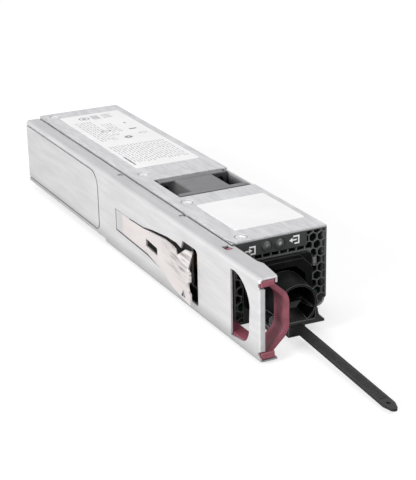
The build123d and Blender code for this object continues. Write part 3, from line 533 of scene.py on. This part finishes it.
turn, tube = grid(full_turn(48), full_turn(12))
lamp_middles = [box_of(lamp)[2] for lamp in ("input_lamp", "output_lamp")]
ring_middles = [(middle.x, strip_face, middle.z) for middle in lamp_middles]
rings = [ring_form(turn, tube, middle, ring_radius, ring_tube).reshape(-1, 3) for middle in ring_middles]
black_rubber = finish(
    "black_ring", (0.012, 0.012, 0.013), (0.02, 0.02, 0.021), roughness=0.6, mottle=300.0,
    grain=3000.0, relief=0.15, eased=0.05,
)
ring_quads = grid_faces(*turn.shape, closed=True, looped=True)
make_piece("lamp_rings", *repeated(rings, ring_quads), black_rubber, "black_plastic")


def bead_form(out, round_, radius, height):
    """Flat bead facing the front: out is the share of its radius, and its crown falls with the
    square of out."""
    x, z = radius * out * np.cos(round_), radius * out * np.sin(round_)
    return np.stack((x, -height * (1 - out**2), z), axis=-1)


out, round_ = grid(np.linspace(1, 0.02, 8), full_turn(24))
bead = bead_form(out, round_, bead_radius, bead_crown).reshape(-1, 3)
bead_quads = grid_faces(*out.shape, closed=True)
core_tones = {
    "input_lamp": ((0.09, 0.095, 0.093), (0.14, 0.145, 0.14)),
    "output_lamp": ((0.25, 0.255, 0.25), (0.33, 0.335, 0.33)),
}
for lamp, tones in core_tones.items():
    low, high, middle = box_of(lamp)
    core = finish(
        lamp + "_core", *tones, roughness=0.3, mottle=900.0, grain=3000.0, relief=0.05, eased=0.02,
    )
    core_place = (middle.x, low.y + bead_sunk, middle.z)
    make_piece(lamp + "_core", bead + core_place, bead_quads, core, "lamp")

# Mains inlet: black glass-filled moulding with two chamfered upper corners, set in the panel's
# opening. Its three pins are nickel-plated.
# Painted highlight: the inlet's edges are drawn lighter, as catch lights on its rims.
black_nylon = finish(
    "black_moulding", (0.004, 0.004, 0.0045), (0.008, 0.008, 0.009), roughness=0.42, mottle=200.0,
    grain=3200.0, relief=0.2, eased=0.32, painted_edge_tone=(0.13, 0.13, 0.135), Specular_IOR_Level=0.05,
)
coat(black_nylon, "ac_inlet")
nickel = finish(
    "nickel_plate", (0.62, 0.60, 0.57), (0.72, 0.70, 0.67), metallic=1.0, roughness=0.28,
    mottle=300.0, grain=3000.0, relief=0.05, eased=0.15,
)
coat(nickel, "inlet_pins")

# Cord strap and clamp: black nylon. The strap is plugged into the panel below the inlet, and ribbed
# across its upper face for the clamp's pawl.
strap_nylon = finish(
    "strap_nylon", (0.008, 0.008, 0.0085), (0.020, 0.020, 0.0205), roughness=0.5, mottle=700.0,
    grain=2600.0, relief=0.3, eased=0.25, Specular_IOR_Level=0.32,
)
coat(strap_nylon, "retention_strap")
# Painted highlight: the clamp's edges are drawn lighter, as the catch light on its rim.
clamp_nylon = finish(
    "clamp_nylon", (0.003, 0.003, 0.0035), (0.008, 0.008, 0.009), roughness=0.33, mottle=160.0,
    grain=3000.0, relief=0.12, eased=0.55, painted_edge_tone=(0.20, 0.20, 0.205), Specular_IOR_Level=0.08,
)
coat(clamp_nylon, "clamp_arch", "clamp_hinge_pin")
# Painted highlight: the base's edges are drawn lighter.
base_nylon = finish(
    "clamp_base_nylon", (0.03, 0.03, 0.0305), (0.055, 0.055, 0.056), roughness=0.33, mottle=160.0,
    grain=3000.0, relief=0.12, eased=0.8, painted_edge_tone=(0.22, 0.22, 0.225), Specular_IOR_Level=0.12,
)
coat(base_nylon, "clamp_base")

strap_root = np.array((-2.7, -123.0, 4.4))
clamp_path = next(joint for joint in frame["joints"] if joint["name"] == "clamp_slide")
strap_way = np.array(clamp_path["axis"])
strap_across = np.array((1.0, 0, 0)) - strap_way * strap_way[0]
strap_across /= np.linalg.norm(strap_across)
strap_normal = np.cross(strap_way, strap_across)
strap_normal *= np.sign(strap_normal[2])
strap_half_thickness, rib_sunk = 0.6, 0.02
tooth_pitch, tooth_height, tooth_half_width = 1.25, 0.24, 1.75
ribs_start, ribs_end = 24, 96


def rib_form(along, across):
    """Saw-toothed ribs: height climbs slowly over each pitch and drops at its end, and falls to the
    strap's face at both sides."""
    phase = np.mod(along / tooth_pitch, 1.0)
    height = tooth_height * np.minimum(phase / 0.8, (1 - phase) / 0.2) * (np.abs(across) < 0.99)
    lift = strap_half_thickness + height - rib_sunk
    out_along = along[..., None] * strap_way
    out_across = (across * tooth_half_width)[..., None] * strap_across
    return strap_root + out_along + out_across + lift[..., None] * strap_normal


along, across = grid(np.arange(ribs_start, ribs_end, tooth_pitch / 5), np.array((-1, -0.93, 0.93, 1)))
ribs = rib_form(along, across).reshape(-1, 3)
make_piece("strap_ribs", ribs, grid_faces(*along.shape, closed=False)[:, ::-1], strap_nylon, "strap_nylon")

# Fan: frame and rotor of grey and black glass-filled plastic round a small copper-wound motor. The
# frame stands below the cover's window, and its flanks are darkened by painted shade.
fan_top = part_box("fan_frame")[1].z


def shaded_flanks(tree, colour):
    """Colour, covered by a painted shade whose share climbs from 0.2 to 0.9 mm below the frame's top."""
    below_top = share_between(tree, piece_axes(tree)["Z"], fan_top - 0.2 * mm, fan_top - 0.9 * mm)
    return covered(tree, below_top, colour, (0.03, 0.029, 0.032))


fan_grey = finish(
    "fan_plastic", (0.105, 0.10, 0.112), (0.14, 0.135, 0.15), roughness=0.42, mottle=120.0,
    grain=2500.0, relief=0.2, eased=0.3, tinted=shaded_flanks, Specular_IOR_Level=0.7,
)
coat(fan_grey, "fan_frame")
rotor_black = finish(
    "rotor_plastic", (0.02, 0.02, 0.022), (0.035, 0.035, 0.038), roughness=0.4, mottle=150.0,
    grain=2500.0, relief=0.15, eased=0.2,
)
coat(rotor_black, "fan_rotor")
copper = finish(
    "enamelled_copper", (0.38, 0.13, 0.035), (0.55, 0.22, 0.07), metallic=0.9, roughness=0.3,
    mottle=500.0, grain=2500.0, relief=0.2, eased=0.1,
)
coat(copper, "fan_stator", "transformer_winding")

# Chokes: enamelled copper wire wound on ring cores, soldered to the boards. The filter's two and the
# output's lie flat, and the boost choke stands on edge.
wire_turns, wire_fill = 42, 0.99


def wound_ring_form(around, section, centre, ring_radius, wire_radius, upright):
    """Wire wound on a ring core: a ring whose section's radius swells by 7% once for every turn of
    wire. Upright, the ring stands with its axis along the module."""
    thick = wire_radius * (0.93 + 0.07 * np.cos(wire_turns * around + section))
    reach = ring_radius + thick * np.cos(section)
    first, second, third = reach * np.cos(around), reach * np.sin(around), thick * np.sin(section)
    spread = (first, -third, second) if upright else (first, second, third)
    return np.stack([middle + axis for middle, axis in zip(centre, spread)], axis=-1)


around, section = grid(full_turn(252), full_turn(18))
wound_quads = grid_faces(*around.shape, closed=True, looped=True)
for choke, rings in (("filter_chokes", 2), ("boost_choke", 1), ("output_choke", 1)):
    low, high, middle = box_of(choke)
    upright = choke == "boost_choke"
    side = (high - low).x
    wire = ((high - low).y if upright else (high - low).z) / 2
    rows_y = (middle.y,) if rings == 1 else (low.y + side / 2, high.y - side / 2)
    centres = [(middle.x, y, middle.z) for y in rows_y]
    wound_rings = [
        wound_ring_form(around, section, centre, side / 2 - wire, wire * wire_fill, upright).reshape(-1, 3)
        for centre in centres
    ]
    wound = make_piece(choke + "_wire", *repeated(wound_rings, wound_quads), copper, "winding")
    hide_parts(choke)

# Circuit boards: glass cloth and resin under green solder mask, held off the tray by posts. The
# contacts at the module's rear are gold-plated and plug into the bay.
solder_mask = finish(
    "green_board", (0.012, 0.075, 0.030), (0.02, 0.11, 0.045), roughness=0.35, mottle=700.0,
    grain=2500.0, relief=0.1, eased=0.1,
)
coat(solder_mask, "main_board", "filter_board", "control_card", "indicator_board")
gold = finish(
    "gold_plate", (0.80, 0.55, 0.20), (0.88, 0.64, 0.27), metallic=1.0, roughness=0.25,
    mottle=400.0, grain=2500.0, relief=0.05, eased=0.05,
)
coat(gold, "card_contacts")

# Capacitors: aluminium cans in dark blue sleeves, soldered upright, with bare scored tops. Those of
# the mains filter are resin-filled boxes.
can = finish(
    "sleeved_can", (0.02, 0.03, 0.07), (0.03, 0.045, 0.10), roughness=0.3, mottle=200.0,
    grain=2500.0, relief=0.05, eased=0.4,
)
coat(can, "bulk_capacitors", "output_capacitors")


def can_top_form(out, round_, radius):
    """Aluminium top of a capacitor can: flat, a rolled rim at its edge, and a scored cross."""
    x, y = radius * out * np.cos(round_), radius * out * np.sin(round_)
    rim = 0.05 * radius * np.exp(-(((out - 0.88) / 0.08) ** 2))
    score = 0.02 * radius * np.maximum(np.exp(-((x / 0.3) ** 2)), np.exp(-((y / 0.3) ** 2))) * (out < 0.7)
    return np.stack((x, y, rim - score + 0.06), axis=-1)


out, round_ = grid(np.concatenate((np.linspace(0.98, 0.72, 8), np.linspace(0.68, 0.02, 8))), full_turn(40))
top_quads = grid_faces(*out.shape, closed=True)
bare_aluminium = finish(
    "bare_aluminium", (0.60, 0.60, 0.61), (0.70, 0.70, 0.71), metallic=0.9, roughness=0.3,
    mottle=300.0, grain=2500.0, relief=0.08, eased=0.1,
)
for cans, radius, number_across in (("bulk_capacitors", 11.0, 1), ("output_capacitors", 4.2, 4)):
    low, high, middle = box_of(cans)
    rows_x = np.linspace(low.x + radius, high.x - radius, number_across)
    rows_y = np.linspace(low.y + radius, high.y - radius, 2)
    top = can_top_form(out, round_, radius).reshape(-1, 3)
    tops = [top + (x, y, high.z) for x in rows_x for y in rows_y]
    make_piece(cans + "_tops", *repeated(tops, top_quads), bare_aluminium, "heat_sink")
box_sleeve = finish(
    "box_sleeve", (0.03, 0.032, 0.034), (0.045, 0.047, 0.05), roughness=0.4, mottle=200.0,
    grain=2500.0, relief=0.1, eased=0.4,
)
coat(box_sleeve, "filter_capacitors")

# Converter's other parts: the transformer's pressed ferrite core, extruded aluminium heat sinks and
# board posts, folded insulating film under the boards, and a fuse in a ceramic tube.
ferrite = finish(
    "ferrite", (0.03, 0.03, 0.032), (0.05, 0.05, 0.052), roughness=0.7, mottle=400.0, grain=1800.0,
    relief=0.3, eased=0.3,
)
coat(ferrite, "transformer_core")
extruded = finish(
    "extruded_aluminium", (0.55, 0.56, 0.58), (0.66, 0.67, 0.69), metallic=0.9, roughness=0.35,
    mottle=100.0, grain=2500.0, relief=0.15, drawn=(1, 0.05, 1), eased=0.15,
)
coat(extruded, "heat_sinks", "board_posts")
film = finish(
    "insulating_film", (0.05, 0.05, 0.05), (0.08, 0.08, 0.08), roughness=0.4, mottle=100.0,
    grain=2500.0, relief=0.1, eased=0.05,
)
coat(film, "insulation_sheet")
fuse_ceramic = finish(
    "ceramic_fuse", (0.70, 0.70, 0.68), (0.80, 0.80, 0.78), roughness=0.3, mottle=200.0,
    grain=2500.0, relief=0.05, eased=0.2,
)
coat(fuse_ceramic, "inlet_fuse")

# Painted highlight: a white block behind the panel's right side, where it shows through the
# hexagons in place of the light caught by the parts behind them.
highlight_half_sizes, highlight_middle = (1.1, 3.0, 2.4), (21.6, -115.0, 21.4)


def swollen(value):
    """The size of a sine or cosine raised to the power 0.22, with its sign kept."""
    return np.sign(value) * np.abs(value) ** 0.22


def rounded_block_form(around, up, half_sizes):
    """Block with round edges: a sphere's sines and cosines, each swollen, times half_sizes."""
    level = swollen(np.cos(up))
    spread = (level * swollen(np.cos(around)), level * swollen(np.sin(around)), swollen(np.sin(up)))
    return np.stack([half * axis for half, axis in zip(half_sizes, spread)], axis=-1)


around, up = grid(full_turn(32), np.linspace(-np.pi / 2 + 0.001, np.pi / 2 - 0.001, 17))
block_quads = grid_faces(*around.shape, closed=False, looped=True)
hex_highlight_block = rounded_block_form(around, up, highlight_half_sizes).reshape(-1, 3) + highlight_middle
highlight_white = finish(
    "highlight_white", (0.72, 0.72, 0.70), (0.80, 0.80, 0.78), roughness=0.5, mottle=300.0,
    grain=2500.0, relief=0.1, eased=0.1,
)
make_piece("hex_highlight_block", hex_highlight_block, block_quads, highlight_white, "label_paper")

# Labels: white polyester film with glue on its back. The front one is blank, and the rear one is
# printed with plain grey bars, ovals, a ring and a pale field in place of words and marks.
label_film = finish(
    "white_label", (0.85, 0.85, 0.85), (0.89, 0.89, 0.89), roughness=0.45, mottle=50.0, grain=2500.0,
    relief=0.03, eased=0.05,
)
coat(label_film, "rating_label", "blank_label")

label_low, label_high = box_of("rating_label")[:2]
label_width, label_length = label_high.x - label_low.x, label_high.y - label_low.y
print_z = label_high.z + 0.02
line_pitch, line_half_height = 0.047, 0.0062
shortest_word, longest_word, word_gap = 0.012, 0.05, 0.012
printer = np.random.default_rng(7)


def print_bars(middles, halves):
    """Flat bars in the label's own shares (across from the left, along from the rear), as points
    and quads."""
    corner = np.array(((-1, -1), (1, -1), (1, 1), (-1, 1)))
    shares = middles[:, None, :] + corner[None] * halves[:, None, :]
    x = label_low.x + shares[..., 0] * label_width
    y = label_high.y - shares[..., 1] * label_length
    points = np.stack((x, y, np.full(x.shape, print_z)), axis=-1)
    return points.reshape(-1, 3), np.arange(len(middles) * 4).reshape(-1, 4)[:, ::-1]


def words(line_shares, along_from, along_to):
    """Words as bars along each line: lengths drawn at random, until the line is full."""
    middles, halves = [], []
    for across in line_shares:
        along = along_from
        while along < along_to - 0.02:
            length = min(printer.uniform(shortest_word, longest_word), along_to - along)
            middles.append((across, along + length / 2))
            halves.append((line_half_height, length / 2))
            along += length + word_gap
    return np.array(middles), np.array(halves)


word_blocks = (
    words(np.arange(0.07, 0.95, line_pitch), 0.62, 0.93),
    words(np.arange(0.10, 0.34, line_pitch), 0.14, 0.52),
    words(np.arange(0.44, 0.62, line_pitch), 0.22, 0.40),
)
word_middles, word_halves = (np.concatenate(blocks) for blocks in zip(*word_blocks))
field_middle, field_half = np.array(((0.52, 0.075),)), np.array(((0.065, 0.035),))
bar_middles = np.array(
    ((0.71, 0.075), (0.71, 0.050), (0.71, 0.100), (0.78, 0.37), (0.055, 0.88), (0.80, 0.25))
)
bar_halves = np.array(((0.075, 0.0035),) * 3 + ((0.060, 0.008), (0.012, 0.07), (0.018, 0.008)))
pale_print = finish(
    "pale_print", (0.52, 0.52, 0.53), (0.60, 0.60, 0.61), roughness=0.5, mottle=900.0, grain=4000.0,
    relief=0.03, eased=0.02,
)
make_piece("label_field", *print_bars(field_middle, field_half), pale_print, "label_paper")
grey_print = finish(
    "grey_print", (0.34, 0.34, 0.35), (0.44, 0.44, 0.45), roughness=0.5, mottle=900.0, grain=4000.0,
    relief=0.03, eased=0.02,
)
make_piece("label_words", *print_bars(word_middles, word_halves), grey_print, "label_paper")
dark_print = finish(
    "dark_print", (0.17, 0.17, 0.18), (0.26, 0.26, 0.27), roughness=0.5, mottle=900.0, grain=4000.0,
    relief=0.03, eased=0.02,
)
make_piece("label_blocks", *print_bars(bar_middles, bar_halves), dark_print, "label_paper")


def oval_form(out, round_, middle, radii):
    """Flat oval ring in mm on the label: out runs over the ring's width."""
    x = label_low.x + middle[0] * label_width + radii[0] * out * np.cos(round_)
    y = label_high.y - middle[1] * label_length + radii[1] * out * np.sin(round_)
    return np.stack((x, y, np.full(x.shape, print_z)), axis=-1)


out, round_ = grid(np.array((1.0, 0.0)), full_turn(32))
oval_quads = grid_faces(*out.shape, closed=True)
ovals = (
    ((0.33, 0.075), (3.3, 2.9), 0.80), ((0.33, 0.075), (1.3, 1.2), 0.05), ((0.54, 0.50), (2.3, 2.3), 0.35),
    ((0.83, 0.46), (2.4, 1.3), 0.8), ((0.36, 0.35), (3.0, 1.7), 0.75), ((0.42, 0.43), (2.2, 1.2), 0.75),
)
seals = []
for middle, radii, inner in ovals:
    seals.append(oval_form(np.where(out > 0.5, 1.0, inner), round_, middle, radii).reshape(-1, 3))
make_piece("label_seals", *repeated(seals, oval_quads), dark_print, "label_paper")
